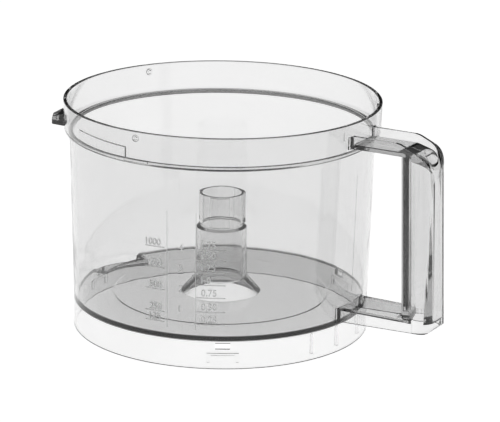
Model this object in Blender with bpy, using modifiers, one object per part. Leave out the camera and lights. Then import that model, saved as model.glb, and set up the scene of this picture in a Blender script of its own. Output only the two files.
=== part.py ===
"""Clear work bowl of a food processor.

A round, slightly tapered bowl of clear plastic with a wide collar for the lid, a raised floor on a
skirt, a centre column that guides the drive, and a hollow handle. Units are metres and +Z is up.
The underside of the skirt is z = 0, the handle points to +X, and the origin is the middle of the
whole footprint, so the bowl's own axis is the vertical line at x = AXIS_X.
"""
import math

import bmesh
import bpy
from mathutils import Matrix, Vector

MM = 0.001
GAP = 0.3 * MM            # clearance between two neighbouring pieces
RING_STEPS = 72           # facets round the bowl
TUBE_STEPS = 40           # facets round the column

# Bowl: radii are measured from the bowl's axis
HEIGHT = 130.0 * MM
RIM_R = 88.5 * MM
COLLAR_FOOT_R = 88.0 * MM
COLLAR_BOTTOM = 111.8 * MM
COLLAR_WALL = 2.1 * MM
LEDGE_Z = 113.8 * MM      # shelf that the lid sits on
WALL = 2.0 * MM
WALL_TOP_R = 85.1 * MM
WALL_FOOT_R = 82.9 * MM
FLOOR_TOP = 18.1 * MM
FLOOR_BOTTOM = 15.7 * MM
FLOOR_STEP_R = 60.3 * MM  # inside this radius the floor stands a little higher
FLOOR_STEP = 0.4 * MM
SKIRT_R = 83.2 * MM

# Centre column
CONE_FOOT_R = 22.2 * MM
CONE_TOP_R = 14.6 * MM
CONE_TOP = 27.0 * MM
SHOULDER_Z = 56.0 * MM
SHOULDER_R = 14.1 * MM
TUBE_BORE_R = 12.1 * MM
GUIDE_FOOT = 57.8 * MM
GUIDE_TOP = 75.9 * MM
GUIDE_R = 12.3 * MM
GUIDE_BORE_R = 11.0 * MM
GUIDE_LAND_R = 13.4 * MM

# Handle: x is measured from the bowl's axis
HANDLE_HALF = 12.8 * MM
HANDLE_WALL = 2.0 * MM
FACE_CORNER = 6.5 * MM      # radius of the grip's outer corners, seen from above
HAND_CORNER = 5.0 * MM      # radius of its corners on the hand side
HANDLE_TOP = 123.3 * MM
CHANNEL_FLOOR = 118.6 * MM
CHANNEL_BOTTOM = 116.4 * MM
GRIP_INNER_X = 115.4 * MM   # hand side of the grip, at CHANNEL_BOTTOM
GRIP_OUTER_X = 132.2 * MM   # outer face, at CHANNEL_BOTTOM
GRIP_CROWN = 0.5 * MM       # how far the middle of the outer face stands out
INNER_LEAN = 0.0335         # outward lean of the hand side towards the foot
OUTER_LEAN = 0.038          # outward lean of the outer face towards the foot
ARM_TOP = 25.6 * MM
ARM_PLATE = 2.0 * MM
ARM_BOTTOM_IN = 17.3 * MM
ARM_BOTTOM_OUT = 19.1 * MM

# Small moulded features: angles are anticlockwise from the handle, in degrees
PIP_ANGLES = (30.0, 150.0, 268.0)
PIP_R = 1.9 * MM
PIP_Z = 125.8 * MM
GUIDE_LANDS = ((30.0, 83.0), (133.0, 190.0), (270.0, 320.0))
LOCK_ANGLES = (-59.0, 61.0, 181.0)
LOCK_HALF = 6.0           # half the width of a base lock, in degrees
LID_LUG_ANGLE = -150.0
LID_LUG_REACH = 6.2 * MM
LID_LUG_HALF = 8.5 * MM
LID_LUG_TIP_SHARE = 0.42    # width of the lug's tip over the width of its root
RAMP_START = -121.0
RAMP_END = -95.5
RAMP_PROUD = 0.8 * MM
STOP_START = -96.0
STOP_END = -86.5
MARK_ANGLE = -12.7
SKIRT_RIB_ANGLES = (-22.3, -8.5, 8.5)

HANDLE_REACH = GRIP_OUTER_X + GRIP_CROWN + OUTER_LEAN * (CHANNEL_BOTTOM - ARM_BOTTOM_OUT)
AXIS_X = -(HANDLE_REACH - RIM_R) / 2
BOWL_AXIS = Vector((AXIS_X, 0.0, 0.0))

CLEAR = (0.90, 0.92, 0.93, 1.0)
PARTS = "food_processor_bowl"
CUTTERS = "cutters"


# ---------------------------------------------------------------- scene helpers

def clear_scene():
    for obj in list(bpy.data.objects):
        bpy.data.objects.remove(obj, do_unlink=True)


def new_collection(name):
    collection = bpy.data.collections.new(name)
    bpy.context.scene.collection.children.link(collection)
    return collection


def clear_plastic(name):
    """Each piece has its own clear, glossy plastic."""
    material = bpy.data.materials.new(name + "_plastic")
    material.use_nodes = True
    shader = material.node_tree.nodes["Principled BSDF"]
    shader.inputs["Base Color"].default_value = CLEAR
    shader.inputs["Roughness"].default_value = 0.05
    shader.inputs["Metallic"].default_value = 0.0
    shader.inputs["IOR"].default_value = 1.57
    shader.inputs["Transmission Weight"].default_value = 0.9
    return material


def add_part(name, mesh):
    obj = bpy.data.objects.new(name, mesh)
    obj.location = BOWL_AXIS
    mesh.materials.clear()
    mesh.materials.append(clear_plastic(name))
    bpy.data.collections[PARTS].objects.link(obj)
    return obj


def add_cutter(name, mesh):
    obj = bpy.data.objects.new(name, mesh)
    obj.location = BOWL_AXIS
    obj.hide_render = True
    obj.display_type = 'WIRE'
    bpy.data.collections[CUTTERS].objects.link(obj)
    return obj


def boolean(obj, cutter, operation):
    modifier = obj.modifiers.new(operation.lower() + "_" + cutter.name, 'BOOLEAN')
    modifier.operation = operation
    modifier.solver = 'EXACT'
    modifier.object = cutter


# ---------------------------------------------------------------- shape helpers

def outline_mesh(name, points, closed):
    """A chain of edges in the XZ plane, ready for a Screw modifier."""
    mesh = bpy.data.meshes.new(name)
    edges = [(i, i + 1) for i in range(len(points) - 1)]
    if closed:
        edges.append((len(points) - 1, 0))
    mesh.from_pydata([(r, 0.0, z) for r, z in points], edges, [])
    return mesh


def spin_round(obj, steps):
    modifier = obj.modifiers.new("turn", 'SCREW')
    modifier.axis = 'Z'
    modifier.angle = math.tau
    modifier.screw_offset = 0.0
    modifier.steps = steps
    modifier.render_steps = steps
    modifier.use_merge_vertices = True
    modifier.merge_threshold = 0.00001
    modifier.use_smooth_shade = True
    return obj


def turned_part(name, profile, steps):
    """A ring whose closed profile runs down its outer side and up its inner side."""
    return spin_round(add_part(name, outline_mesh(name, profile, True)), steps)


def turned_cutter(name, profile, steps):
    """A solid of revolution whose open profile starts and ends on the axis, top first."""
    return spin_round(add_cutter(name, outline_mesh(name, profile, False)), steps)


def sheet_mesh(name, outline, thickness, upright):
    """A filled flat outline given a thickness; upright puts its second axis along Z."""
    curve = bpy.data.curves.new(name, 'CURVE')
    curve.dimensions = '2D'
    curve.fill_mode = 'BOTH'
    curve.extrude = thickness / 2
    spline = curve.splines.new('POLY')
    spline.points.add(len(outline) - 1)
    for point, (x, y) in zip(spline.points, outline):
        point.co = (x, y, 0.0, 1.0)
    spline.use_cyclic_u = True
    holder = bpy.data.objects.new(name, curve)
    bpy.context.scene.collection.objects.link(holder)
    graph = bpy.context.evaluated_depsgraph_get()
    mesh = bpy.data.meshes.new_from_object(holder.evaluated_get(graph))
    bpy.data.objects.remove(holder, do_unlink=True)
    if upright:
        mesh.transform(Matrix.Rotation(math.pi / 2, 4, 'X'))
    weld(mesh)
    return mesh


def weld(mesh):
    bm = bmesh.new()
    bm.from_mesh(mesh)
    bmesh.ops.remove_doubles(bm, verts=bm.verts, dist=0.000001)
    bmesh.ops.recalc_face_normals(bm, faces=bm.faces)
    bm.to_mesh(mesh)
    bm.free()


def block_mesh(name, low, high):
    size = Vector(high) - Vector(low)
    middle = (Vector(high) + Vector(low)) / 2
    bm = bmesh.new()
    bmesh.ops.create_cube(bm, size=1.0, matrix=Matrix.Translation(middle) @ Matrix.Diagonal((*size, 1.0)))
    mesh = bpy.data.meshes.new(name)
    bm.to_mesh(mesh)
    bm.free()
    return mesh


def sector_mesh(name, inner, outer, bottom, top, start, end, steps):
    """A curved bar: a rectangle in the radius-height plane swept from one angle to another."""
    bm = bmesh.new()
    bmesh.ops.create_grid(bm, x_segments=1, y_segments=1, size=0.5)
    to_section = (Matrix.Translation(((inner + outer) / 2, 0.0, (bottom + top) / 2))
                  @ Matrix.Rotation(math.pi / 2, 4, 'X')
                  @ Matrix.Diagonal((outer - inner, top - bottom, 1.0, 1.0)))
    bmesh.ops.transform(bm, matrix=Matrix.Rotation(math.radians(start), 4, 'Z') @ to_section,
                        verts=bm.verts)
    bmesh.ops.spin(bm, geom=bm.verts[:] + bm.edges[:] + bm.faces[:], cent=(0, 0, 0), axis=(0, 0, 1),
                   angle=math.radians(end - start), steps=steps)
    bmesh.ops.recalc_face_normals(bm, faces=bm.faces)
    mesh = bpy.data.meshes.new(name)
    bm.to_mesh(mesh)
    bm.free()
    return mesh


def turn_mesh(mesh, degrees):
    mesh.transform(Matrix.Rotation(math.radians(degrees), 4, 'Z'))
    return mesh


def arc(centre_x, centre_z, radius, start, end, count):
    """Points along a round stretch of an outline; angles in degrees from +X."""
    points = []
    for i in range(count + 1):
        angle = math.radians(start + (end - start) * i / count)
        points.append((centre_x + radius * math.cos(angle), centre_z + radius * math.sin(angle)))
    return points


# ---------------------------------------------------------------- bowl

def wall_outer(z):
    """Outer radius of the tapered wall at a height."""
    share = (z - FLOOR_TOP) / (COLLAR_BOTTOM - FLOOR_TOP)
    return WALL_FOOT_R + (WALL_TOP_R - WALL_FOOT_R) * share


def make_collar():
    rim = 0.5 * MM
    fillet = 2.4 * MM
    inner_top = RIM_R - COLLAR_WALL
    inner_foot = COLLAR_FOOT_R - COLLAR_WALL
    profile = [(RIM_R - rim, HEIGHT), (RIM_R, HEIGHT - rim)]
    profile += arc(COLLAR_FOOT_R - fillet, COLLAR_BOTTOM + fillet, fillet, 0, -90, 4)
    profile += [(WALL_TOP_R - WALL, COLLAR_BOTTOM), (WALL_TOP_R - WALL, LEDGE_Z),
                (inner_foot, LEDGE_Z), (inner_top, HEIGHT - rim), (inner_top + rim, HEIGHT)]
    return turned_part("rim_collar", profile, RING_STEPS)


def make_wall():
    top = COLLAR_BOTTOM - GAP
    foot = FLOOR_TOP + GAP
    profile = [(wall_outer(top), top), (wall_outer(foot), foot),
               (wall_outer(foot) - WALL, foot), (wall_outer(top) - WALL, top)]
    return turned_part("bowl_wall", profile, RING_STEPS)


def make_floor():
    fillet = 1.4 * MM
    shelf = WALL_FOOT_R - WALL
    hole = CONE_FOOT_R + GAP
    profile = [(WALL_FOOT_R, FLOOR_TOP), (WALL_FOOT_R, FLOOR_BOTTOM), (hole, FLOOR_BOTTOM),
               (hole, FLOOR_TOP + FLOOR_STEP), (FLOOR_STEP_R, FLOOR_TOP + FLOOR_STEP),
               (FLOOR_STEP_R + FLOOR_STEP, FLOOR_TOP), (shelf - fillet, FLOOR_TOP)]
    return turned_part("floor_plate", profile, RING_STEPS)


def make_skirt():
    top = FLOOR_BOTTOM - GAP
    inner = SKIRT_R - WALL
    profile = [(WALL_FOOT_R, top), (SKIRT_R, 0.0), (inner, 0.0), (inner - 0.3 * MM, top)]
    skirt = turned_part("base_skirt", profile, RING_STEPS)
    for number, angle in enumerate(LOCK_ANGLES, 1):
        slot = block_mesh("slot", (SKIRT_R - 6 * MM, -4.0 * MM, 11.2 * MM),
                          (SKIRT_R + 6 * MM, 4.0 * MM, 14.4 * MM))
        cutter = add_cutter("lock_window_%d" % number, turn_mesh(slot, angle))
        boolean(skirt, cutter, 'DIFFERENCE')
    return skirt


# ---------------------------------------------------------------- centre column

def make_cone():
    """The flared foot of the column, open underneath."""
    foot_thickness = 2.4 * MM
    profile = [(CONE_TOP_R, CONE_TOP - GAP), (CONE_FOOT_R, FLOOR_TOP + FLOOR_STEP),
               (CONE_FOOT_R, FLOOR_BOTTOM), (CONE_FOOT_R - foot_thickness, FLOOR_BOTTOM),
               (TUBE_BORE_R, CONE_TOP - foot_thickness), (TUBE_BORE_R, CONE_TOP - GAP)]
    return turned_part("column_flare", profile, TUBE_STEPS)


def make_column():
    profile = [(GUIDE_R, GUIDE_FOOT - GAP), (SHOULDER_R, SHOULDER_Z), (CONE_TOP_R, CONE_TOP),
               (TUBE_BORE_R, CONE_TOP), (TUBE_BORE_R, GUIDE_FOOT - GAP)]
    return turned_part("column_tube", profile, TUBE_STEPS)


def make_guide():
    edge = 0.3 * MM
    profile = [(GUIDE_R - edge, GUIDE_TOP), (GUIDE_R, GUIDE_TOP - edge), (GUIDE_R, GUIDE_FOOT),
               (GUIDE_BORE_R, GUIDE_FOOT), (GUIDE_BORE_R, GUIDE_TOP - edge),
               (GUIDE_BORE_R + edge, GUIDE_TOP)]
    return turned_part("guide_tube", profile, TUBE_STEPS)


def make_guide_lands():
    """Raised lands outside the guide tube that key the drive sleeve."""
    for number, (start, end) in enumerate(GUIDE_LANDS, 1):
        mesh = sector_mesh("guide_land", GUIDE_R + GAP, GUIDE_LAND_R, GUIDE_FOOT + GAP,
                           GUIDE_TOP - 0.6 * MM, start, end, 6)
        add_part("guide_land_%d" % number, mesh)


# ---------------------------------------------------------------- handle

def grip_inner(z):
    """X of the grip's hand side at a height."""
    return GRIP_INNER_X + INNER_LEAN * (CHANNEL_BOTTOM - z)


def grip_outer(z):
    """X of the grip's outer face at a height, beside its crown."""
    return GRIP_OUTER_X + OUTER_LEAN * (CHANNEL_BOTTOM - z)


def outer_plan(z, inset):
    """The crowned outer end of the handle's plan, from the near side to the far side."""
    half = HANDLE_HALF - inset
    corner = FACE_CORNER - inset
    face = grip_outer(z) - inset
    points = arc(face - corner, -half + corner, corner, -90, 0, 5)
    points.append((face + GRIP_CROWN, 0.0))
    points += arc(face - corner, half - corner, corner, 0, 90, 5)
    return points


def grip_plan(inset):
    """Plan of the grip: a rounded rectangle."""
    def plan(z):
        half = HANDLE_HALF - inset
        corner = HAND_CORNER - inset
        face = grip_inner(z) + inset
        return (arc(face + corner, -half + corner, corner, -180, -90, 5)
                + outer_plan(z, inset)
                + arc(face + corner, half - corner, corner, 90, 180, 5))
    return plan


def handle_plan(inset):
    """Plan of the whole handle: straight sides from inside the bowl to the outer face."""
    def plan(z):
        half = HANDLE_HALF - inset
        return [(60 * MM, -half)] + outer_plan(z, inset) + [(60 * MM, half)]
    return plan


def prism_mesh(name, plan, low_z, high_z):
    """A solid between two heights whose plan(z) gives its outline there."""
    bm = bmesh.new()
    low = [bm.verts.new((x, y, low_z)) for x, y in plan(low_z)]
    high = [bm.verts.new((x, y, high_z)) for x, y in plan(high_z)]
    for i in range(len(low)):
        k = (i + 1) % len(low)
        bm.faces.new((low[i], low[k], high[k], high[i]))
    bm.faces.new(low)
    bm.faces.new(high)
    mesh = bpy.data.meshes.new(name)
    bm.to_mesh(mesh)
    bm.free()
    weld(mesh)
    return mesh


def falling_curve(start_x, level, first, slope, last, face):
    """Side view of an edge that runs level to start_x, slopes down and turns over the outer face.

    The two bends have the radii first and last; the second one ends upright at x = face.
    """
    bend = arc(start_x, level - first, first, 90, 90 - slope, 4)
    centre_x = face - last
    tangent_x = centre_x + last * math.sin(math.radians(slope))
    tangent_z = bend[-1][1] - (tangent_x - bend[-1][0]) * math.tan(math.radians(slope))
    centre_z = tangent_z - last * math.cos(math.radians(slope))
    return bend + arc(centre_x, centre_z, last, 90 - slope, 0, 7)


def make_handle():
    wide = 2 * HANDLE_HALF + 10 * MM
    bowl = turned_cutter("bowl_clearance", [
        (0.0, HEIGHT + 1 * MM), (RIM_R + GAP, HEIGHT + 1 * MM), (RIM_R + GAP, HEIGHT),
        (COLLAR_FOOT_R + GAP, COLLAR_BOTTOM), (WALL_TOP_R + GAP, COLLAR_BOTTOM),
        (WALL_FOOT_R + GAP, FLOOR_TOP), (SKIRT_R + GAP, 0.0), (0.0, 0.0)], RING_STEPS)

    # Side views: the rim of the channel's walls, and the two faces of its floor
    lip_z = 103.4 * MM
    rim = falling_curve(112.5 * MM, HANDLE_TOP, 13.0 * MM, 24.0, 14.3 * MM, 133.0 * MM)
    floor = falling_curve(113.8 * MM, CHANNEL_FLOOR, 11.2 * MM, 15.5, 10.6 * MM, 133.0 * MM)
    under = falling_curve(113.5 * MM, CHANNEL_BOTTOM, 9.0 * MM, 15.5, 9.0 * MM, 131.2 * MM)

    # Upper channel: a tray open at the top, whose floor turns down over the end of the grip
    outline = [(60 * MM, CHANNEL_BOTTOM)] + under + [(131.6 * MM, lip_z), (150 * MM, lip_z)]
    outline += [(150 * MM, rim[-1][1])] + rim[::-1] + [(60 * MM, HANDLE_TOP)]
    channel = add_part("handle_upper_channel", sheet_mesh("channel", outline, wide, True))
    shell = add_cutter("channel_plan", prism_mesh("plan", handle_plan(0.0), 0.0, 0.15))
    boolean(channel, shell, 'INTERSECT')
    outline = [(50 * MM, CHANNEL_FLOOR)] + floor + [(150 * MM, floor[-1][1]), (150 * MM, HEIGHT),
                                                    (50 * MM, HEIGHT)]
    tray = add_cutter("channel_hollow", sheet_mesh("tray", outline, wide, True))
    boolean(tray, add_cutter("channel_hollow_plan", prism_mesh(
        "plan", handle_plan(HANDLE_WALL), 0.0, 0.15)), 'INTERSECT')
    boolean(channel, tray, 'DIFFERENCE')
    boolean(channel, bowl, 'DIFFERENCE')

    # Grip: a rounded tube under the channel, open at both ends
    foot = ARM_TOP + GAP
    grip = add_part("handle_grip", prism_mesh("grip", grip_plan(0.0), foot, 0.12))
    outline = [(60 * MM, CHANNEL_BOTTOM - GAP)]
    outline += [(x - 0.2 * MM, z - GAP) for x, z in under]
    outline += [(131.4 * MM, lip_z - GAP), (150 * MM, lip_z - GAP), (150 * MM, 0.15),
                (60 * MM, 0.15)]
    boolean(grip, add_cutter("under_channel", sheet_mesh("above", outline, wide, True)), 'DIFFERENCE')
    hollow = prism_mesh("hollow", grip_plan(HANDLE_WALL), 0.0, 0.15)
    grip_hollow = add_cutter("grip_hollow", hollow)
    boolean(grip, grip_hollow, 'DIFFERENCE')

    # Lower arm: a tray open underneath, with an opening in its top for the hollow of the grip
    outline = [(75 * MM, ARM_BOTTOM_IN), (150 * MM, ARM_BOTTOM_OUT + 0.6 * MM), (150 * MM, ARM_TOP),
               (75 * MM, ARM_TOP)]
    arm = add_part("handle_lower_arm", sheet_mesh("arm", outline, wide, True))
    boolean(arm, shell, 'INTERSECT')
    boolean(arm, add_cutter("arm_hollow", prism_mesh(
        "under", handle_plan(HANDLE_WALL), 0.0, ARM_TOP - ARM_PLATE)), 'DIFFERENCE')
    boolean(arm, grip_hollow, 'DIFFERENCE')
    boolean(arm, bowl, 'DIFFERENCE')


# ---------------------------------------------------------------- small moulded features

def collar_outer(z):
    return COLLAR_FOOT_R + (RIM_R - COLLAR_FOOT_R) * (z - COLLAR_BOTTOM) / (HEIGHT - COLLAR_BOTTOM)


def make_pips():
    """Three round pips inside the collar that snap over the lid's edge."""
    inner_face = collar_outer(PIP_Z) - COLLAR_WALL
    length = 0.9 * MM
    for number, angle in enumerate(PIP_ANGLES, 1):
        bm = bmesh.new()
        bmesh.ops.create_cone(bm, cap_ends=True, segments=16, radius1=PIP_R, radius2=PIP_R * 0.7,
                              depth=length)
        mesh = bpy.data.meshes.new("pip")
        bm.to_mesh(mesh)
        bm.free()
        mesh.transform(Matrix.Translation((inner_face - GAP - length / 2, 0.0, PIP_Z))
                       @ Matrix.Rotation(-math.pi / 2, 4, 'Y'))
        add_part("lid_pip_%d" % number, turn_mesh(mesh, angle))


def make_lid_lug():
    """The tab outside the collar that holds the lid down."""
    root = RIM_R + GAP
    tip = root + LID_LUG_REACH
    bottom = 114.6 * MM
    outline = [(root, bottom), (tip, bottom), (tip, 118.4 * MM), (tip - 1.0 * MM, 119.6 * MM),
               (root, 121.9 * MM)]
    mesh = sheet_mesh("lid_lug", outline, 2 * LID_LUG_HALF, True)
    for vertex in mesh.vertices:
        share = (vertex.co.x - root) / LID_LUG_REACH
        vertex.co.y *= 1 - (1 - LID_LUG_TIP_SHARE) * share
    add_part("lid_lock_lug", turn_mesh(mesh, LID_LUG_ANGLE))


def make_lid_ramp():
    """A low wedge round the collar that grows from nothing to its end stop."""
    root = RIM_R
    bottom = 115.2 * MM
    top = 120.9 * MM
    rise = 1.3 * MM
    least = 0.35
    mesh = sector_mesh("ramp", root, root + RAMP_PROUD, bottom, top, RAMP_START, RAMP_END, 8)
    for vertex in mesh.vertices:
        angle = math.degrees(math.atan2(vertex.co.y, vertex.co.x))
        share = (angle - RAMP_START) / (RAMP_END - RAMP_START)
        radius = math.hypot(vertex.co.x, vertex.co.y)
        wanted = root + (radius - root) * (least + (1 - least) * share)
        vertex.co.x *= wanted / radius
        vertex.co.y *= wanted / radius
        if vertex.co.z > (bottom + top) / 2:
            vertex.co.z += rise * (1 - share)
    add_part("lid_ramp", mesh)
    stop = sector_mesh("stop", COLLAR_FOOT_R + GAP, COLLAR_FOOT_R + RAMP_PROUD, 113.1 * MM, 114.9 * MM,
                       STOP_START, STOP_END, 4)
    add_part("lid_ramp_stop", stop)


def make_align_mark():
    low = (RIM_R + GAP, -0.3 * MM, 122.0 * MM)
    high = (RIM_R + GAP + 0.5 * MM, 0.3 * MM, 126.6 * MM)
    add_part("align_mark", turn_mesh(block_mesh("align_mark", low, high), MARK_ANGLE))


def make_base_locks():
    """Arch-shaped tabs round the skirt that the machine's base turns under."""
    face = SKIRT_R + GAP
    proud = 0.9 * MM
    for number, angle in enumerate(LOCK_ANGLES, 1):
        mesh = sector_mesh("base_lock", face, face + proud, 4.2 * MM, 9.4 * MM, angle - LOCK_HALF,
                           angle + LOCK_HALF, 6)
        lock = add_part("base_lock_%d" % number, mesh)
        arch = block_mesh("arch", (face - 4 * MM, -7.0 * MM, 0.0), (face + 4 * MM, 7.0 * MM, 8.2 * MM))
        boolean(lock, add_cutter("lock_arch_%d" % number, turn_mesh(arch, angle)), 'DIFFERENCE')


def make_skirt_ribs():
    """Upright ribs inside the skirt, near the handle."""
    half = 0.5 * MM
    face = SKIRT_R - WALL - 2 * GAP
    for number, angle in enumerate(SKIRT_RIB_ANGLES, 1):
        low = (face - 1.4 * MM, -half, 3.2 * MM)
        high = (face - 0.1 * MM, half, 14.6 * MM)
        add_part("skirt_rib_%d" % number, turn_mesh(block_mesh("skirt_rib", low, high), angle))


def smooth_round_pieces():
    for obj in bpy.data.collections[PARTS].objects:
        if obj.data.polygons:
            obj.data.shade_smooth()
            obj.data.set_sharp_from_angle(angle=math.radians(30))


def build():
    clear_scene()
    new_collection(PARTS)
    new_collection(CUTTERS)
    make_collar()
    make_wall()
    make_floor()
    make_skirt()
    make_cone()
    make_column()
    make_guide()
    make_guide_lands()
    make_handle()
    make_pips()
    make_lid_lug()
    make_lid_ramp()
    make_align_mark()
    make_base_locks()
    make_skirt_ribs()
    smooth_round_pieces()


build()
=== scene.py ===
import math

import bmesh
import bpy
from mathutils import Matrix, Vector


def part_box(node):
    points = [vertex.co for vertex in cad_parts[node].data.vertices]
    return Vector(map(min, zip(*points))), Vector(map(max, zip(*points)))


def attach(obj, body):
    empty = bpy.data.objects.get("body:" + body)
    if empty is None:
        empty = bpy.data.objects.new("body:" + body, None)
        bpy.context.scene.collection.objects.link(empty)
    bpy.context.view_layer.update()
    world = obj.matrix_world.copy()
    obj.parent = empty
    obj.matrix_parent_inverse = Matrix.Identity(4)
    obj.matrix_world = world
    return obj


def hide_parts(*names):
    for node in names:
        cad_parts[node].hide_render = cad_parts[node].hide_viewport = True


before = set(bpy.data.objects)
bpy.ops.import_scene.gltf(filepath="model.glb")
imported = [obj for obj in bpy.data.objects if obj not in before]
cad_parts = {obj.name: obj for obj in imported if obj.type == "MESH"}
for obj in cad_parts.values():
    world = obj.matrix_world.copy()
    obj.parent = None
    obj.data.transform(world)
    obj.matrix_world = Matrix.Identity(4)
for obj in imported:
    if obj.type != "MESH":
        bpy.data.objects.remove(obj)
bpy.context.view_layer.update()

MM = 0.001
BODY = "root"
BOWL_NODES = sorted(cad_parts)

# ---------------------------------------------------------------- sizes read from the frame

collar_low, collar_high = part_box("rim_collar")
wall_low, wall_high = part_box("bowl_wall")
skirt_low, skirt_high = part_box("base_skirt")
floor_low, floor_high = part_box("floor_plate")
flare_low, flare_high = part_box("column_flare")
tube_low, tube_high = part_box("column_tube")
guide_low, guide_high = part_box("guide_tube")
land_low, land_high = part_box("guide_land_1")
grip_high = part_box("handle_grip")[1]
arm_low, arm_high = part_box("handle_lower_arm")
channel_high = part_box("handle_upper_channel")[1]
lug_low, lug_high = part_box("lid_lock_lug")
pip_low, pip_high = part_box("lid_pip_1")
ramp_low, ramp_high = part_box("lid_ramp")
stop_low, stop_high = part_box("lid_ramp_stop")
mark_low, mark_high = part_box("align_mark")
lock_low, lock_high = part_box("base_lock_1")
rib_low, rib_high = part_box("skirt_rib_1")

AXIS_X = (collar_low.x + collar_high.x) / 2
HEIGHT = collar_high.z
RIM_R = (collar_high.x - collar_low.x) / 2
COLLAR_BOTTOM = collar_low.z
SKIRT_R = (skirt_high.x - skirt_low.x) / 2
FLOOR_BOTTOM = floor_low.z
FLOOR_NODE_STEP = 0.4 * MM  # the floor's node stands this much higher inside its ring
FLOOR_TOP = floor_high.z - FLOOR_NODE_STEP
WALL_TOP_R = (wall_high.x - wall_low.x) / 2
SKIRT_LEAN = 0.3 * MM      # how much narrower the skirt is at the floor than at its foot
WALL_FOOT_R = SKIRT_R - SKIRT_LEAN
CONE_FOOT_R = (flare_high.x - flare_low.x) / 2
CONE_TOP = tube_low.z
CONE_TOP_R = (tube_high.x - tube_low.x) / 2
GUIDE_R = (guide_high.x - guide_low.x) / 2
GUIDE_FOOT = guide_low.z
GUIDE_TOP = guide_high.z
HANDLE_HALF = grip_high.y
HANDLE_TOP = channel_high.z
CHANNEL_DEPTH = 6.9 * MM   # from the top of the handle to the underside of its tray
CHANNEL_BOTTOM = channel_high.z - CHANNEL_DEPTH
ARM_TOP = arm_high.z
ARM_BOTTOM = arm_low.z

# ---------------------------------------------------------------- sizes of the finer shape

RING_STEPS = 240           # facets round the bowl
WALL = 2.0 * MM
COLLAR_WALL = 2.1 * MM
COLLAR_FOOT_R = RIM_R - 0.5 * MM
LEDGE_Z = COLLAR_BOTTOM + 2.0 * MM
FLOOR_STEP_R = 60.3 * MM   # the faint ring in the floor
FLOOR_STEP = 0.15 * MM
FLARE_INSET = 1.4 * MM     # how much narrower the flare's foot is on the underside
SHOULDER_R = 14.1 * MM
SHOULDER_Z = 56.0 * MM
TUBE_BORE_R = 12.1 * MM
GUIDE_BORE_R = 11.0 * MM
GUIDE_LANDS = ((30.0, 83.0), (133.0, 190.0), (270.0, 320.0))
LAND_FACE_R = GUIDE_BORE_R + 0.6 * MM
LAND_BACK_R = 13.4 * MM
HANDLE_WALL = 2.0 * MM
HAND_WALL = 5.0 * MM       # the grip's wall on the hand side, which looks like a thick bar
HANDLE_CORNER = 6.5 * MM   # outer corners of the grip, seen from above
HAND_CORNER = 5.0 * MM     # corners on the hand side
CHANNEL_FLOOR = CHANNEL_BOTTOM + 2.2 * MM
GRIP_INNER_X = 115.4 * MM
GRIP_OUTER_X = 132.2 * MM
GRIP_CROWN = 0.5 * MM
INNER_LEAN = 0.0335
OUTER_LEAN = 0.038
ARM_PLATE = 2.0 * MM
HANDLE_CUT = 8 * MM        # the handle is made down to here and then cut off by its side view
TRAY_START_X = 83.8 * MM   # where the tray starts, before the bowl's inside is cut away
PLATE_OVERLAP = 6 * MM     # how far the tray and the arm reach into the grip
COLLAR_FACE_X = 87.4 * MM  # where the fillets of the handle's root touch the bowl, at the tray
FOOT_FACE_X = 81.9 * MM    # and at the arm
ROOT_FILLET = 3.0 * MM     # where the handle meets the bowl
WEB_FILLET = 3.0 * MM      # between the grip and the arm, on the hand side
LIP_FACE = 133.0 * MM      # where the lip of the tray turns upright
LIP_UNDER_FACE = 131.2 * MM
LIP_DIP = 2.0 * MM         # how far the middle of the lip hangs below its sides
LIP_HALF = 8 * MM          # half the width of the dip
LIP_START = 124 * MM       # the dip grows from here outwards
LIP_RUN = 7 * MM           # and is full after this
LIP_LOWEST = 100 * MM      # points under this height aren't moved
LOCK_ANGLES = (-59.0, 61.0, 181.0)
PIP_ANGLES = (30.0, 150.0, 268.0)
LOCK_HALF_ANGLE = 6.0
LOCK_PROUD = 0.9 * MM
ARCH_FOOT_HALF = 7.6 * MM  # the arch cut out of a lock tab
ARCH_TOP_HALF = 6.4 * MM
ARCH_TOP = 8.2 * MM
WINDOW_HALF = 4.05 * MM    # the window through the skirt above the arch
WINDOW_LOW = 11.3 * MM
WINDOW_HIGH = 14.6 * MM
RAMP_ANGLES = (-121.0, -95.5)
STOP_ANGLES = (-96.0, -86.5)
PIP_OUTLINE = ((0.0, -0.8), (1.9, -0.8), (1.9, 0.55), (1.6, 0.9), (1.15, 0.9), (0.8, 0.6), (0.0, 0.5))
RIB_ANGLES = (-22.3, -8.5, 8.5)
MARK_ANGLE = -12.7
LUG_ANGLE = -150.0
LUG_REACH = 6.2 * MM
DIVIDER_ANGLES = (-80.1, -69.2)
FALL_START = 186.0         # the sunken stretch of the floor's edge, in degrees round the bowl
FALL_END = 158.5
FALL_DEPTH = 4.2 * MM
FALL_INNER_R = 73.4 * MM
EMBOSS = 0.45 * MM         # how far the figures and lines of the scale stand out
SUNK = 0.5 * MM            # and how far they reach into the wall
LINE_HEIGHT = 0.4 * MM
FIGURE_BEVEL = 0.05
FIGURE_OFFSET = -0.03      # thins the strokes
FIGURE_WIDTH = 0.92        # narrows the figures

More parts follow.
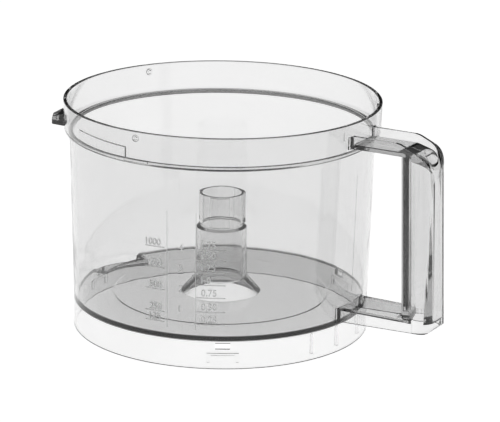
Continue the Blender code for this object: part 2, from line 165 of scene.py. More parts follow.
CLEAR_IOR = 1.57
CLEAR_TINT = (0.925, 0.925, 0.925, 1.0)
FLOW_TINT = (0.900, 0.900, 0.900, 1.0)
FLOW_SCALE = 22.0
FLOW_FIRST = 0.3           # noise values between which the tint goes from one to the other
FLOW_LAST = 0.7
FLOW_RELIEF = 0.12
SCUFF_SCALE = 140.0
SCUFF_FIRST = 0.45         # noise values between which the scuffs come up
SCUFF_LAST = 0.75
SCUFF_ROUGHNESS = 0.012
FROSTED_ROUGHNESS = 0.5    # on the raised figures of the scale
MASK_LIFT = 0.1 * MM       # the frosting starts this far outside the wall's face
MASK_FRONT = 0.7           # and lies in front of this share of the wall's radius
MASK_TOP_GAP = 10 * MM     # and ends this far under the collar
ABSORB = 36.0              # per metre of clear plastic
ABSORB_COLOR = (0.03, 0.03, 0.03, 1.0)


# ---------------------------------------------------------------- mesh helpers

def finished(bm, name):
    bmesh.ops.remove_doubles(bm, verts=bm.verts, dist=0.000001)
    bmesh.ops.recalc_face_normals(bm, faces=bm.faces)
    mesh = bpy.data.meshes.new(name)
    bm.to_mesh(mesh)
    bm.free()
    return mesh


def new_object(name, mesh):
    obj = bpy.data.objects.new(name, mesh)
    bpy.context.scene.collection.objects.link(obj)
    return obj


def rounded(corners, steps=5):
    """A closed outline; each corner is (x, z, radius) and is rounded off by an arc."""
    points = []
    for i, (x, z, radius) in enumerate(corners):
        corner = Vector((x, z))
        if radius == 0:
            points.append(corner)
            continue
        before = (Vector(corners[i - 1][:2]) - corner).normalized()
        after = (Vector(corners[(i + 1) % len(corners)][:2]) - corner).normalized()
        half = before.angle(after) / 2
        centre = corner + (before + after).normalized() * (radius / math.sin(half))
        start = corner + before * (radius / math.tan(half)) - centre
        end = corner + after * (radius / math.tan(half)) - centre
        sweep = math.atan2(start.x * end.y - start.y * end.x, start.dot(end))
        for k in range(steps + 1):
            turn = sweep * k / steps
            points.append(centre + Vector((start.x * math.cos(turn) - start.y * math.sin(turn),
                                           start.x * math.sin(turn) + start.y * math.cos(turn))))
    return points


def skin(rings, name, closed):
    """Joins rings of points, each a closed loop, in order; closed also joins last to first."""
    bm = bmesh.new()
    loops = [[bm.verts.new(point) for point in ring] for ring in rings]
    following = loops[1:] + loops[:1] if closed else loops[1:]
    for loop, after in zip(loops, following):
        for j in range(len(loop)):
            k = (j + 1) % len(loop)
            bm.faces.new((loop[j], after[j], after[k], loop[k]))
    if not closed:
        bm.faces.new(loops[0])
        bm.faces.new(loops[-1])
    return finished(bm, name)


def turned(name, outline, steps):
    """An outline of (radius, height) turned all the way round the bowl's axis."""
    rings = []
    for i in range(steps):
        turn = math.tau * i / steps
        rings.append([(r * math.cos(turn), r * math.sin(turn), z) for r, z in outline])
    return new_object(name, skin(rings, name, True))


def sector(name, start, end, steps, section):
    """A bar swept round the axis; section(share) gives its (radius, height) points on the way."""
    rings = []
    for i in range(steps + 1):
        share = i / steps
        turn = math.radians(start + (end - start) * share)
        rings.append([(r * math.cos(turn), r * math.sin(turn), z) for r, z in section(share)])
    return new_object(name, skin(rings, name, False))


def box_section(inner, outer, bottom, top):
    return lambda share: [(inner, bottom), (outer, bottom), (outer, top), (inner, top)]


def slab(name, outline, low_y, high_y):
    """An outline in the XZ plane given its thickness along Y."""
    rings = [[(x, y, z) for x, z in outline] for y in (low_y, high_y)]
    return new_object(name, skin(rings, name, False))


def prism(name, plan, low_z, high_z):
    """A solid between two heights whose plan(z) gives its (x, y) outline there."""
    rings = [[(x, y, z) for x, y in plan(z)] for z in (low_z, high_z)]
    return new_object(name, skin(rings, name, False))


def turn_object(obj, degrees):
    obj.data.transform(Matrix.Rotation(math.radians(degrees), 4, 'Z'))
    return obj


def combine(obj, operation, *others):
    """Applies one Boolean after another to obj and removes the other solids."""
    for other in others:
        modifier = obj.modifiers.new(operation, 'BOOLEAN')
        modifier.operation = operation
        modifier.solver = 'MANIFOLD'
        modifier.object = other
        graph = bpy.context.evaluated_depsgraph_get()
        mesh = bpy.data.meshes.new_from_object(obj.evaluated_get(graph))
        obj.modifiers.remove(modifier)
        obj.data = mesh
        bpy.data.objects.remove(other, do_unlink=True)
    return obj


# ---------------------------------------------------------------- the round moulding

def wall_outer(z):
    share = (z - FLOOR_TOP) / (COLLAR_BOTTOM - FLOOR_TOP)
    return WALL_FOOT_R + (WALL_TOP_R - WALL_FOOT_R) * share


def round_moulding():
    """Skirt, floor, wall, collar, flare, column and guide as one turned section."""
    inner_top = RIM_R - COLLAR_WALL
    inner_foot = COLLAR_FOOT_R - COLLAR_WALL
    raised = FLOOR_TOP + FLOOR_STEP
    shoulder = 0.3 * MM
    corners = [
        (SKIRT_R, 0.0, 0.5 * MM),
        (WALL_FOOT_R, FLOOR_TOP, 0.0),
        (WALL_TOP_R, COLLAR_BOTTOM, 0.9 * MM),
        (COLLAR_FOOT_R, COLLAR_BOTTOM, 2.2 * MM),
        (RIM_R, HEIGHT, 0.55 * MM),
        (inner_top, HEIGHT, 0.55 * MM),
        (inner_foot, LEDGE_Z, 0.5 * MM),
        (WALL_TOP_R - WALL, LEDGE_Z, 0.7 * MM),
        (WALL_FOOT_R - WALL, FLOOR_TOP, 0.7 * MM),
        (FLOOR_STEP_R + 0.5 * MM, FLOOR_TOP, 1.5 * MM),
        (FLOOR_STEP_R - 0.5 * MM, raised, 1.5 * MM),
        (CONE_FOOT_R, raised, 0.4 * MM),
        (CONE_TOP_R, CONE_TOP, 0.8 * MM),
        (SHOULDER_R, SHOULDER_Z, 0.4 * MM),
        (GUIDE_R + shoulder, GUIDE_FOOT, 0.4 * MM),
        (GUIDE_R, GUIDE_FOOT + shoulder, 0.0),
        (GUIDE_R, GUIDE_TOP, 0.4 * MM),
        (GUIDE_BORE_R, GUIDE_TOP, 0.4 * MM),
        (GUIDE_BORE_R, GUIDE_FOOT, 0.3 * MM),
        (TUBE_BORE_R, GUIDE_FOOT - 0.9 * MM, 0.3 * MM),
        (TUBE_BORE_R, CONE_TOP - 1.6 * MM, 0.8 * MM),
        (CONE_FOOT_R - FLARE_INSET, FLOOR_BOTTOM, 0.6 * MM),
        (SKIRT_R - WALL - SKIRT_LEAN, FLOOR_BOTTOM, 0.8 * MM),
        (SKIRT_R - WALL, 0.0, 0.5 * MM),
    ]
    return turned("food_processor_bowl", rounded(corners), RING_STEPS)


# ---------------------------------------------------------------- the handle

def grip_inner(z):
    return GRIP_INNER_X + INNER_LEAN * (CHANNEL_BOTTOM - z)


def grip_outer(z):
    return GRIP_OUTER_X + OUTER_LEAN * (CHANNEL_BOTTOM - z)


def grip_plan(inset, first_x=None):
    """The grip's outline from above, drawn in by inset; first_x starts it nearer to the bowl."""
    def plan(z):
        half = HANDLE_HALF - inset
        hand_side = grip_inner(z) + (HAND_WALL if inset else 0.0)
        low = hand_side if first_x is None else first_x
        high = grip_outer(z) - inset
        near = HAND_CORNER - inset
        corner = HANDLE_CORNER + inset    # wider inside than outside, so it looks less dark
        corners = [(low, -half, near), (high, -half, corner)]
        corners += [(high, half * part, 0.0) for part in (-0.4, -0.2, 0.0, 0.2, 0.4)]
        corners += [(high, half, corner), (low, half, near)]
        outline = rounded(corners, 9)
        crowned = []
        for x, y in outline:
            share = max(0.0, (x - high + corner) / corner)
            crowned.append((x + GRIP_CROWN * share * (1 - (y / half) ** 2), y))
        return crowned
    return plan


def falling_curve(start_x, level, first, slope, last, face):
    """Side view of an edge that runs level to start_x, slopes down and turns over the outer face."""
    slope = math.radians(slope)
    points = []
    for k in range(9):
        turn = slope * k / 8
        points.append((start_x + first * math.sin(turn), level - first * (1 - math.cos(turn))))
    centre_x = face - last
    tangent_x = centre_x + last * math.sin(slope)
    tangent_z = points[-1][1] - (tangent_x - points[-1][0]) * math.tan(slope)
    centre_z = tangent_z - last * math.cos(slope)
    for k in range(17):
        turn = (math.pi / 2 - slope) * (1 - k / 16)
        points.append((centre_x + last * math.cos(turn), centre_z + last * math.sin(turn)))
    return points


def handle_body():
    """The handle as a solid, before it is hollowed."""
    half = HANDLE_HALF
    root = TRAY_START_X
    body = prism("handle", grip_plan(0.0), HANDLE_CUT, HEIGHT)
    past = grip_inner(CHANNEL_BOTTOM) + PLATE_OVERLAP
    channel = slab("channel", [(root, CHANNEL_BOTTOM), (past, CHANNEL_BOTTOM), (past, HEIGHT),
                               (root, HEIGHT)], -half, half)
    past = grip_inner(ARM_TOP) + PLATE_OVERLAP
    arm = slab("arm", [(root - 2 * MM, HANDLE_CUT), (past, HANDLE_CUT), (past, ARM_TOP),
                       (root - 2 * MM, ARM_TOP)], -half, half)
    web = WEB_FILLET
    corner_x = grip_inner(ARM_TOP)
    fillet = [(corner_x + 1 * MM, ARM_TOP - 1 * MM), (corner_x - web, ARM_TOP - 1 * MM)]
    for k in range(9):
        turn = math.radians(270 + 90 * k / 8)
        fillet.append((corner_x - web + web * math.cos(turn), ARM_TOP + web + web * math.sin(turn)))
    fillet.append((corner_x + 1 * MM, ARM_TOP + web))
    inner_web = slab("inner_web", fillet, -half + 2 * MM, half - 2 * MM)
    return combine(body, 'UNION', channel, arm, inner_web,
                   root_flare("channel_root", COLLAR_FACE_X, CHANNEL_BOTTOM, HEIGHT),
                   root_flare("arm_root", FOOT_FACE_X, HANDLE_CUT, ARM_TOP))


def root_flare(name, wall_x, low_z, high_z):
    """Widens the handle by a fillet on both sides where it meets the bowl."""
    reach = ROOT_FILLET
    half = HANDLE_HALF
    outline = [(wall_x - 6 * MM, -half - reach)]
    for k in range(7):
        turn = math.radians(180 - 90 * k / 6)
        outline.append((wall_x + reach + reach * math.cos(turn), -half - reach + reach * math.sin(turn)))
    mirrored = [(x, -y) for x, y in reversed(outline)]
    return prism(name, lambda z: outline + mirrored, low_z, high_z)


def lip_slab(name, outline, wide):
    """A slab whose outer end dips towards the middle, so that the handle's lip hangs down there."""
    rings = []
    for y in [-wide] + [LIP_HALF * part / 4 for part in range(-4, 5)] + [wide]:
        dip = LIP_DIP * max(0.0, 1 - (y / LIP_HALF) ** 2)
        ring = []
        for x, z in outline:
            share = min(1.0, max(0.0, (x - LIP_START) / LIP_RUN))
            if z < LIP_LOWEST or z > HANDLE_TOP:
                share = 0.0
            ring.append((x, y, z - dip * share))
        rings.append(ring)
    return new_object(name, skin(rings, name, False))


def handle():
    """The handle cut to its side view, with the open tray on top and hollow inside."""
    rim = falling_curve(112.5 * MM, HANDLE_TOP, 13.0 * MM, 24.0, 14.3 * MM, LIP_FACE)
    floor = falling_curve(113.8 * MM, CHANNEL_FLOOR, 11.2 * MM, 15.5, 10.6 * MM, LIP_FACE)
    under = falling_curve(113.5 * MM, CHANNEL_BOTTOM, 9.0 * MM, 15.5, 9.0 * MM, LIP_UNDER_FACE)
    body = handle_body()
    wide = HANDLE_HALF + 5 * MM

    # along the arm and the rounded foot of the grip, up outside it, and back over the rim
    side = [(60 * MM, ARM_BOTTOM - 0.8 * MM), (grip_outer(20 * MM) - 2.4 * MM, 18.9 * MM),
            (grip_outer(20 * MM) - 0.9 * MM, 19.4 * MM), (grip_outer(21 * MM) + 0.6 * MM, 21.4 * MM),
            (150 * MM, 21.4 * MM), (150 * MM, rim[-1][1])]
    side += reversed(rim)
    side.append((60 * MM, HANDLE_TOP))
    combine(body, 'INTERSECT', lip_slab("side", side, wide))

    above = [(50 * MM, CHANNEL_FLOOR)] + floor
    above += [(150 * MM, floor[-1][1]), (150 * MM, 0.15), (50 * MM, 0.15)]
    trough = combine(lip_slab("trough", above, wide), 'INTERSECT',
                     prism("trough_plan", grip_plan(HANDLE_WALL, 60 * MM), 0.0, 0.2))

    below = [(50 * MM, CHANNEL_BOTTOM)] + under
    below += [(LIP_UNDER_FACE, 0.0), (150 * MM, 0.0), (150 * MM, -0.02), (50 * MM, -0.02)]
    hollow = combine(prism("hollow", grip_plan(HANDLE_WALL), -0.01, 0.2), 'INTERSECT',
                     lip_slab("below", below, wide))
    arm_under = prism("arm_under", grip_plan(HANDLE_WALL, 60 * MM), -0.01,
                      ARM_TOP - ARM_PLATE)
    return combine(body, 'DIFFERENCE', trough, hollow, arm_under)


def handle_bore():
    """Everything inside the middle of the wall's thickness, which is cut away from the handle."""
    corners = [(0.0, -1 * MM), (SKIRT_R - 1 * MM, -1 * MM), (WALL_FOOT_R - 1 * MM, FLOOR_TOP),
               (WALL_TOP_R - 1 * MM, COLLAR_BOTTOM), (WALL_TOP_R - 1 * MM, COLLAR_BOTTOM + 1.2 * MM),
               (COLLAR_FOOT_R - 1 * MM, COLLAR_BOTTOM + 1.2 * MM), (RIM_R - 1 * MM, HEIGHT + 5 * MM),
               (0.0, HEIGHT + 5 * MM)]
    bm = bmesh.new()
    for r, z in corners:
        bm.verts.new((r, 0.0, z))
    bm.verts.ensure_lookup_table()
    for j in range(len(corners) - 1):
        bm.edges.new((bm.verts[j], bm.verts[j + 1]))
    bmesh.ops.spin(bm, geom=bm.verts[:] + bm.edges[:], cent=(0, 0, 0), axis=(0, 0, 1),
                   angle=math.tau, steps=RING_STEPS)
    return new_object("handle_bore", finished(bm, "handle_bore"))


# ---------------------------------------------------------------- small moulded features

def collar_outer(z):
    return COLLAR_FOOT_R + (RIM_R - COLLAR_FOOT_R) * (z - COLLAR_BOTTOM) / (HEIGHT - COLLAR_BOTTOM)


def lid_ramp():
    """A low wedge on the collar whose height and thickness change along its length."""
    def section(share):
        proud = (0.25 + 0.55 * share) * MM
        top = ramp_high.z - 1.3 * MM * share
        face = RIM_R - 0.2 * MM + proud
        return [(RIM_R - 1.2 * MM, ramp_low.z), (face, ramp_low.z), (face, top - 0.4 * MM),
                (face - 0.4 * MM, top), (RIM_R - 1.2 * MM, top)]
    return sector("lid_ramp", *RAMP_ANGLES, 24, section)


def lid_stop():
    return sector("lid_stop", *STOP_ANGLES, 10,
                  box_section(COLLAR_FOOT_R - 1.2 * MM, COLLAR_FOOT_R + 0.8 * MM, stop_low.z, stop_high.z))


def lid_lug():
    """The tab outside the collar, tapered in plan and sloping down to its tip."""
    root = COLLAR_FOOT_R - 1.0 * MM
    tip = RIM_R + LUG_REACH
    outline = rounded([(root, lug_low.z, 0.0), (tip, lug_low.z, 0.5 * MM),
                       (tip, lug_low.z + 4.2 * MM, 1.2 * MM), (root, lug_high.z, 0.0)], 4)
    lug = slab("lid_lug", outline, -1.0, 1.0)
    for vertex in lug.data.vertices:
        share = (vertex.co.x - root) / (tip - root)
        vertex.co.y *= 8.5 * MM * (1 - 0.58 * share)
    return turn_object(lug, LUG_ANGLE)


def pip(angle):
    """A round pip with a dimpled face, standing inwards from the collar."""
    rings = []
    for i in range(28):
        turn = math.tau * i / 28
        rings.append([(-z * MM, r * MM * math.cos(turn), r * MM * math.sin(turn)) for r, z in PIP_OUTLINE])
    obj = new_object("pip", skin(rings, "pip", True))
    middle = (pip_low.z + pip_high.z) / 2
    obj.data.transform(Matrix.Translation((collar_outer(middle) - COLLAR_WALL, 0, middle)))
    return turn_object(obj, angle)


def upright_bar(angle, inner, outer, half, bottom, top):
    """A straight upright bar at an angle round the bowl."""
    bar = slab("bar", [(inner, bottom), (outer, bottom), (outer, top), (inner, top)], -half, half)
    return turn_object(bar, angle)


def leaning_bar(angle, half, bottom, top, proud):
    """An upright line on the outside of the tapered wall."""
    outline = [(wall_outer(bottom) - 0.8 * MM, bottom), (wall_outer(bottom) + proud, bottom),
               (wall_outer(top) + proud, top), (wall_outer(top) - 0.8 * MM, top)]
    return turn_object(slab("line", outline, -half, half), angle)


def base_lock(angle):
    """The arch-shaped tab on the skirt: a bar with two legs that spread a little."""
    tab = sector("lock", angle - LOCK_HALF_ANGLE, angle + LOCK_HALF_ANGLE, 14,
                 box_section(SKIRT_R - 1.2 * MM, SKIRT_R + LOCK_PROUD, lock_low.z, lock_high.z))
    arch = []
    for reach in (SKIRT_R - 4 * MM, SKIRT_R + 4 * MM):
        arch.append([(reach, -ARCH_FOOT_HALF, -1 * MM), (reach, ARCH_FOOT_HALF, -1 * MM),
                     (reach, ARCH_TOP_HALF, ARCH_TOP), (reach, -ARCH_TOP_HALF, ARCH_TOP)])
    return combine(tab, 'DIFFERENCE', turn_object(new_object("arch", skin(arch, "arch", False)), angle))


def lock_window(angle):
    return upright_bar(angle, SKIRT_R - 6 * MM, SKIRT_R + 6 * MM, WINDOW_HALF, WINDOW_LOW, WINDOW_HIGH)


def guide_land(start, end):
    steps = max(4, round((end - start) / 4))
    return sector("land", start, end, steps,
                  box_section(LAND_FACE_R, LAND_BACK_R, land_low.z, land_high.z))


def floor_fall(share):
    """How far the floor's edge has dropped at a share of the sunken stretch."""
    return FALL_DEPTH * share ** 1.3


def fall_shell():
    """The underside that carries the sunken part of the floor's edge."""
    def section(share):
        bottom = FLOOR_BOTTOM - floor_fall(share)
        inner = FALL_INNER_R - 1.9 * MM
        outer = WALL_FOOT_R - 0.8 * MM
        top = FLOOR_TOP - 0.6 * MM
        return [(inner, bottom), (outer, bottom), (outer, top), (inner, top)]
    return sector("fall_shell", FALL_START + 3.0, FALL_END - 1.6, 26, section)


def fall_void():
    """The sunken part of the floor's edge, which drops steadily and ends in a short step."""
    def section(share):
        bottom = FLOOR_TOP - floor_fall(min(1.0, share * 1.06)) * (1 if share < 0.97 else 0.1)
        return [(FALL_INNER_R, bottom), (WALL_FOOT_R - WALL, bottom),
                (WALL_FOOT_R - WALL, FLOOR_TOP + 1 * MM), (FALL_INNER_R, FLOOR_TOP + 1 * MM)]
    return sector("fall_void", FALL_START, FALL_END - 1.0, 40, section)


# ---------------------------------------------------------------- the volume scale

def on_wall(mesh, angle, z, inner, outer):
    """Bends a flat mesh of width X, height Y and depth Z round the wall; depth 0..1 is inner..outer."""
    for vertex in mesh.vertices:
        height = z + vertex.co.y
        radius = wall_outer(height) + inner + (outer - inner) * vertex.co.z
        turn = math.radians(angle) + vertex.co.x / wall_outer(height)
        vertex.co = (radius * math.cos(turn), radius * math.sin(turn), height)


def figure(text, angle, z, tall):
    """A raised number, its left edge at an angle and its foot at a height."""
    curve = bpy.data.curves.new("figure", 'FONT')
    curve.body = text
    curve.resolution_u = 3
    curve.extrude = 0.5
    curve.bevel_depth = FIGURE_BEVEL
    curve.offset = FIGURE_OFFSET
    holder = bpy.data.objects.new("figure", curve)
    bpy.context.scene.collection.objects.link(holder)
    graph = bpy.context.evaluated_depsgraph_get()
    flat = bpy.data.meshes.new_from_object(holder.evaluated_get(graph))
    bpy.data.objects.remove(holder, do_unlink=True)
    low_x = min(v.co.x for v in flat.vertices)
    high_y = max(v.co.y for v in flat.vertices)
    # depth 1 is the front face, 0.45 the foot of its bevel just under the wall's face, 0 the back
    for vertex in flat.vertices:
        depth = 1.0 if vertex.co.z > 0.52 else 0.45 * (vertex.co.z > 0)
        across = (vertex.co.x - low_x) * tall / high_y * FIGURE_WIDTH
        vertex.co = (across, vertex.co.y * tall / high_y, depth)
    on_wall(flat, angle, z, -SUNK, EMBOSS)
    bm = bmesh.new()
    bm.from_mesh(flat)
    return new_object("figure", finished(bm, "figure"))


def underline(start, end, z):
    section = box_section(wall_outer(z) - SUNK, wall_outer(z) + EMBOSS, z, z + LINE_HEIGHT)
    return sector("underline", start, end, 8, section)


# Each row is a figure and a height in millimetres, followed in the first column by the figure's
# angle. The height is the foot of the figure, or in the last column the foot of its line.
FIRST_COLUMN = (("1000", 67.9, -88.6), ("750", 56.3, -87.2), ("500", 44.0, -87.2),
                ("250", 31.6, -87.2), ("125", 25.9, -87.2))
MIDDLE_COLUMN = (("4", 66.4), ("3", 54.8), ("2", 43.3), ("1", 31.8))
LAST_COLUMN = (("1.75", 67.3), ("1.50", 61.3), ("1.25", 54.6), ("1.0", 47.5), ("0.75", 40.3),
               ("0.50", 32.3), ("0.25", 25.2))
MIDDLE_ANGLE = -75.6
LAST_ANGLE = -67.2
FIRST_LINES = (-88.9, -81.0)   # the angles between which the lines run
LAST_LINES = (-69.0, -58.2)
FIRST_TALL = 3.8 * MM
MIDDLE_TALL = 3.6 * MM
LAST_TALL = 3.9 * MM
FIRST_DROP = 1.0               # from the foot of a figure down to its line, in millimetres
LAST_RISE = 1.2                # from a line up to its figure


def volume_scale():
    """Raised numbers and lines of a generic measuring scale in three columns."""
    raised = []
    for text, z, angle in FIRST_COLUMN:
        raised.append(figure(text, angle, z * MM, FIRST_TALL))
        raised.append(underline(*FIRST_LINES, (z - FIRST_DROP) * MM))
    for text, z in MIDDLE_COLUMN:
        raised.append(figure(text, MIDDLE_ANGLE, z * MM, MIDDLE_TALL))
    for text, z in LAST_COLUMN:
        raised.append(figure(text, LAST_ANGLE, (z + LAST_RISE) * MM, LAST_TALL))
        raised.append(underline(*LAST_LINES, z * MM))
    return raised


# ---------------------------------------------------------------- shading

SHARP_ANGLE = 32           # degrees between faces from which an edge is shaded sharp
ROUND_LIMIT = 0.03         # normals that lean round the axis by less than this are made radial


def smooth_shading(obj):
    """Large faces keep their own direction, fillets carry the bends, and turned faces look round."""
    obj.data.shade_smooth()
    obj.data.set_sharp_from_angle(angle=math.radians(SHARP_ANGLE))
    modifier = obj.modifiers.new("weighted", 'WEIGHTED_NORMAL')
    modifier.mode = 'FACE_AREA'
    modifier.weight = 50
    modifier.keep_sharp = True
    graph = bpy.context.evaluated_depsgraph_get()
    mesh = bpy.data.meshes.new_from_object(obj.evaluated_get(graph))
    obj.modifiers.remove(modifier)
    obj.data = mesh
    normals = []
    for loop, corner in zip(mesh.loops, mesh.corner_normals):
        point = mesh.vertices[loop.vertex_index].co
        normal = corner.vector.copy()
        around = Vector((-point.y, point.x, 0.0)).normalized()
        sideways = normal.dot(around)
        if abs(sideways) < ROUND_LIMIT:
            normal -= around * sideways
        normals.append(normal.normalized())
    mesh.normals_split_custom_set(normals)


# ---------------------------------------------------------------- build

def build():
    """The whole bowl as one clear body."""
    bowl = round_moulding()
    grip = combine(handle(), 'DIFFERENCE', handle_bore())
    combine(bowl, 'UNION', grip, lid_ramp(), lid_stop(), lid_lug(), fall_shell())
    combine(bowl, 'UNION', *[pip(angle) for angle in PIP_ANGLES])
    combine(bowl, 'UNION', *[guide_land(start, end) for start, end in GUIDE_LANDS])
    combine(bowl, 'UNION', *[base_lock(angle) for angle in LOCK_ANGLES])
    combine(bowl, 'UNION', upright_bar(MARK_ANGLE, RIM_R - 1.0 * MM, RIM_R + 0.3 * MM, 0.3 * MM,
                                       mark_low.z, mark_high.z))
    for angle in RIB_ANGLES:
        combine(bowl, 'UNION', upright_bar(angle, SKIRT_R - WALL - 1.6 * MM, SKIRT_R - 1.2 * MM,
                                           0.5 * MM, rib_low.z, rib_high.z))
    # a faint line behind the handle, and the dividers of the scale
    combine(bowl, 'UNION', leaning_bar(0.0, 0.15 * MM, 32 * MM, 98 * MM, 0.15 * MM))
    combine(bowl, 'UNION', *[leaning_bar(angle, 0.15 * MM, 22 * MM, 88 * MM, 0.2 * MM)
                             for angle in DIVIDER_ANGLES])
    combine(bowl, 'UNION', *volume_scale())
    combine(bowl, 'DIFFERENCE', fall_void())
    combine(bowl, 'DIFFERENCE', *[lock_window(angle) for angle in LOCK_ANGLES])
    smooth_shading(bowl)
    bowl.data.transform(Matrix.Translation((AXIS_X, 0, 0)))
    return bowl


bowl = build()


# ---------------------------------------------------------------- materials

def math_node(nodes, links, operation, first, second, third=None):
    """A Math node whose inputs are other sockets or plain numbers."""
    node = nodes.new("ShaderNodeMath")
    node.operation = operation
    for socket, value in zip(node.inputs, (first, second, third)):
        if isinstance(value, float):
            socket.default_value = value
        elif value is not None:
            links.new(value, socket)
    return node.outputs["Value"]


def raised_mask(nodes, links, place):
    """1 on what stands out from the front of the tapered wall, which is the scale, and 0 elsewhere."""
    centred = nodes.new("ShaderNodeVectorMath")
    centred.operation = 'SUBTRACT'
    centred.inputs[1].default_value = (AXIS_X, 0.0, 0.0)
    links.new(place, centred.inputs[0])
    flat = nodes.new("ShaderNodeVectorMath")
    flat.operation = 'MULTIPLY'
    flat.inputs[1].default_value = (1.0, 1.0, 0.0)
    links.new(centred.outputs["Vector"], flat.inputs[0])
    radius = nodes.new("ShaderNodeVectorMath")
    radius.operation = 'LENGTH'
    links.new(flat.outputs["Vector"], radius.inputs[0])
    split = nodes.new("ShaderNodeSeparateXYZ")
    links.new(centred.outputs["Vector"], split.inputs["Vector"])
    slope = (WALL_TOP_R - WALL_FOOT_R) / (COLLAR_BOTTOM - FLOOR_TOP)
    wall = math_node(nodes, links, 'MULTIPLY_ADD', split.outputs["Z"], slope,
                     WALL_FOOT_R - slope * FLOOR_TOP)
    proud = math_node(nodes, links, 'SUBTRACT', radius.outputs["Value"], wall)
    mask = math_node(nodes, links, 'GREATER_THAN', proud, MASK_LIFT)
    in_front = math_node(nodes, links, 'LESS_THAN', split.outputs["Y"], -MASK_FRONT * WALL_FOOT_R)
    above = math_node(nodes, links, 'GREATER_THAN', split.outputs["Z"], FLOOR_TOP)
    below = math_node(nodes, links, 'LESS_THAN', split.outputs["Z"], COLLAR_BOTTOM - MASK_TOP_GAP)
    for limit in (in_front, above, below):
        mask = math_node(nodes, links, 'MULTIPLY', mask, limit)
    return mask


def clear_plastic():
    """Clear moulding with faint flow marks, light scuffs and frosted figures."""
    material = bpy.data.materials.new("clear_plastic")
    material.use_nodes = True
    nodes = material.node_tree.nodes
    links = material.node_tree.links
    shader = nodes["Principled BSDF"]
    shader.inputs["IOR"].default_value = CLEAR_IOR
    shader.inputs["Transmission Weight"].default_value = 1.0

    place = nodes.new("ShaderNodeTexCoord")
    flow = nodes.new("ShaderNodeTexNoise")
    flow.inputs["Scale"].default_value = FLOW_SCALE
    flow.inputs["Detail"].default_value = 3.0
    links.new(place.outputs["Object"], flow.inputs["Vector"])
    tint = nodes.new("ShaderNodeValToRGB")
    tint.color_ramp.elements[0].position = FLOW_FIRST
    tint.color_ramp.elements[0].color = FLOW_TINT
    tint.color_ramp.elements[1].position = FLOW_LAST
    tint.color_ramp.elements[1].color = CLEAR_TINT
    links.new(flow.outputs["Fac"], tint.inputs["Fac"])
    links.new(tint.outputs["Color"], shader.inputs["Base Color"])

    scuffs = nodes.new("ShaderNodeTexNoise")
    scuffs.inputs["Scale"].default_value = SCUFF_SCALE
    scuffs.inputs["Detail"].default_value = 6.0
    links.new(place.outputs["Object"], scuffs.inputs["Vector"])
    dulled = nodes.new("ShaderNodeMapRange")
    dulled.inputs["From Min"].default_value = SCUFF_FIRST
    dulled.inputs["From Max"].default_value = SCUFF_LAST
    dulled.inputs["To Min"].default_value = 0.0
    dulled.inputs["To Max"].default_value = SCUFF_ROUGHNESS
    links.new(scuffs.outputs["Fac"], dulled.inputs["Value"])
    mask = raised_mask(nodes, links, place.outputs["Object"])
    frosted = math_node(nodes, links, 'MULTIPLY_ADD', mask, FROSTED_ROUGHNESS,
                        dulled.outputs["Result"])
    links.new(frosted, shader.inputs["Roughness"])

    relief = nodes.new("ShaderNodeBump")
    relief.inputs["Strength"].default_value = FLOW_RELIEF
    relief.inputs["Distance"].default_value = 1.0 * MM
    links.new(flow.outputs["Fac"], relief.inputs["Height"])
    links.new(relief.outputs["Normal"], shader.inputs["Normal"])

    volume = nodes.new("ShaderNodeVolumeAbsorption")
    volume.inputs["Color"].default_value = ABSORB_COLOR
    volume.inputs["Density"].default_value = ABSORB
    links.new(volume.outputs["Volume"], nodes["Material Output"].inputs["Volume"])
    return material


bowl.data.materials.clear()
bowl.data.materials.append(clear_plastic())
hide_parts(*BOWL_NODES)
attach(bowl, BODY)
bowl.visible_shadow = False


# ---------------------------------------------------------------- stage

FLOOR_SIZE = 30.0
FLOOR_DROP = 0.05 * MM     # the paper lies this far under the bowl
PAPER_WHITE = 0.92
PAPER_ROUGHNESS = 0.9
PAPER_GLOW = 0.62
GLOW_FIRST = 0.40          # 1 less the sine of the angle above the paper, where the glow starts
GLOW_LAST = 0.62           # and where it is full
WORLD_LOW = 0.02           # the dark room round the bowl
WORLD_HIGH = 0.6           # the soft ceiling
WORLD_BACK = 0.05          # the wall behind the bowl
CEILING_FIRST = 0.35       # sines of the angles between which the ceiling brightens
CEILING_LAST = 0.62
BACK_DIRECTION = (-0.49, 0.87, 0.0)
BACK_FIRST = 0.10          # cosines of the angles from it between which the wall brightens
BACK_LAST = 0.55
LIGHT_BOUNCES = 12         # enough for several clear walls behind one another

bm = bmesh.new()
bmesh.ops.create_grid(bm, x_segments=1, y_segments=1, size=FLOOR_SIZE)
ground = new_object("studio_floor", finished(bm, "studio_floor"))
ground.location.z = -FLOOR_DROP


def pale_paper():
    """Matt white paper that glows where it is looked along, and is plain pale grey from above."""
    material = bpy.data.materials.new("pale_paper")
    material.use_nodes = True
    nodes, links = material.node_tree.nodes, material.node_tree.links
    shader = nodes["Principled BSDF"]
    shader.inputs["Base Color"].default_value = (PAPER_WHITE, PAPER_WHITE, PAPER_WHITE, 1)
    shader.inputs["Roughness"].default_value = PAPER_ROUGHNESS
    shader.inputs["Specular IOR Level"].default_value = 0.0
    shader.inputs["Emission Color"].default_value = (1, 1, 1, 1)
    slant = nodes.new("ShaderNodeLayerWeight")
    slant.inputs["Blend"].default_value = 0.5
    glow = nodes.new("ShaderNodeMapRange")
    glow.inputs["From Min"].default_value = GLOW_FIRST
    glow.inputs["From Max"].default_value = GLOW_LAST
    glow.inputs["To Min"].default_value = 0.0
    glow.inputs["To Max"].default_value = PAPER_GLOW
    links.new(slant.outputs["Facing"], glow.inputs["Value"])
    links.new(glow.outputs["Result"], shader.inputs["Emission Strength"])
    return material


ground.data.materials.append(pale_paper())


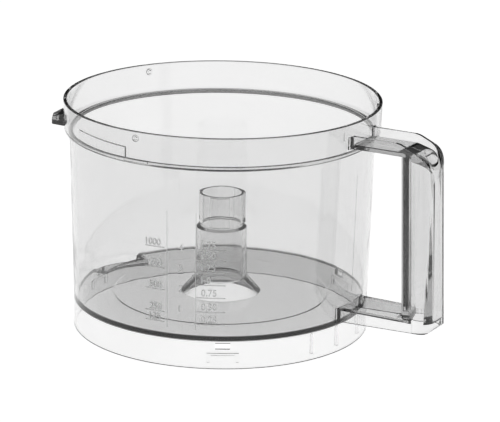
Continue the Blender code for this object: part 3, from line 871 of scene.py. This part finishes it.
def light_ramp(nodes, links, source, first, last, dark, bright):
    """A grey that eases from dark to bright as the source goes from first to last."""
    ramp = nodes.new("ShaderNodeValToRGB")
    ramp.color_ramp.interpolation = 'EASE'
    ramp.color_ramp.elements[0].position = first
    ramp.color_ramp.elements[0].color = (dark, dark, dark, 1)
    ramp.color_ramp.elements[1].position = last
    ramp.color_ramp.elements[1].color = (bright, bright, bright, 1)
    links.new(source, ramp.inputs["Fac"])
    return ramp.outputs["Color"]


def studio_world():
    """A soft bright ceiling over a dark room, a little less dark behind the bowl."""
    world = bpy.data.worlds.new("studio")
    bpy.context.scene.world = world
    world.use_nodes = True
    nodes, links = world.node_tree.nodes, world.node_tree.links
    coords = nodes.new("ShaderNodeTexCoord")
    split = nodes.new("ShaderNodeSeparateXYZ")
    links.new(coords.outputs["Generated"], split.inputs[0])
    ceiling = light_ramp(nodes, links, split.outputs["Z"], CEILING_FIRST, CEILING_LAST,
                         WORLD_LOW, WORLD_HIGH)
    towards = nodes.new("ShaderNodeVectorMath")
    towards.operation = 'DOT_PRODUCT'
    towards.inputs[1].default_value = BACK_DIRECTION
    links.new(coords.outputs["Generated"], towards.inputs[0])
    backdrop = light_ramp(nodes, links, towards.outputs["Value"], BACK_FIRST, BACK_LAST,
                          0.0, WORLD_BACK)
    brighter = nodes.new("ShaderNodeMixRGB")
    brighter.blend_type = 'LIGHTEN'
    brighter.inputs["Fac"].default_value = 1.0
    links.new(ceiling, brighter.inputs["Color1"])
    links.new(backdrop, brighter.inputs["Color2"])
    links.new(brighter.outputs["Color"], nodes["Background"].inputs["Color"])


studio_world()

scene = bpy.context.scene
scene.view_settings.view_transform = 'Standard'
scene.cycles.max_bounces = LIGHT_BOUNCES
scene.cycles.transmission_bounces = LIGHT_BOUNCES
scene.cycles.glossy_bounces = LIGHT_BOUNCES

# ---------------------------------------------------------------- camera

AIM = Vector((AXIS_X + 16.54 * MM, 3.0 * MM, 66.2 * MM))
DISTANCE = 1520 * MM
AZIMUTH = math.radians(29.376)
ELEVATION = math.radians(16.648)
ROLL = math.radians(0.90)
LENS = 195.8
SENSOR_WIDTH = 36.0
CLIP_NEAR = 0.1
CLIP_FAR = 100.0

camera = bpy.data.objects.new("camera", bpy.data.cameras.new("camera"))
scene.collection.objects.link(camera)
back = Vector((math.sin(AZIMUTH) * math.cos(ELEVATION), -math.cos(AZIMUTH) * math.cos(ELEVATION),
               math.sin(ELEVATION)))
camera.location = AIM + back * DISTANCE
camera.rotation_mode = 'QUATERNION'
camera.rotation_quaternion = ((-back).to_track_quat('-Z', 'Y')
                              @ Matrix.Rotation(ROLL, 3, 'Z').to_quaternion())
camera.data.lens = LENS
camera.data.sensor_width = SENSOR_WIDTH
camera.data.clip_start = CLIP_NEAR
camera.data.clip_end = CLIP_FAR
scene.camera = camera
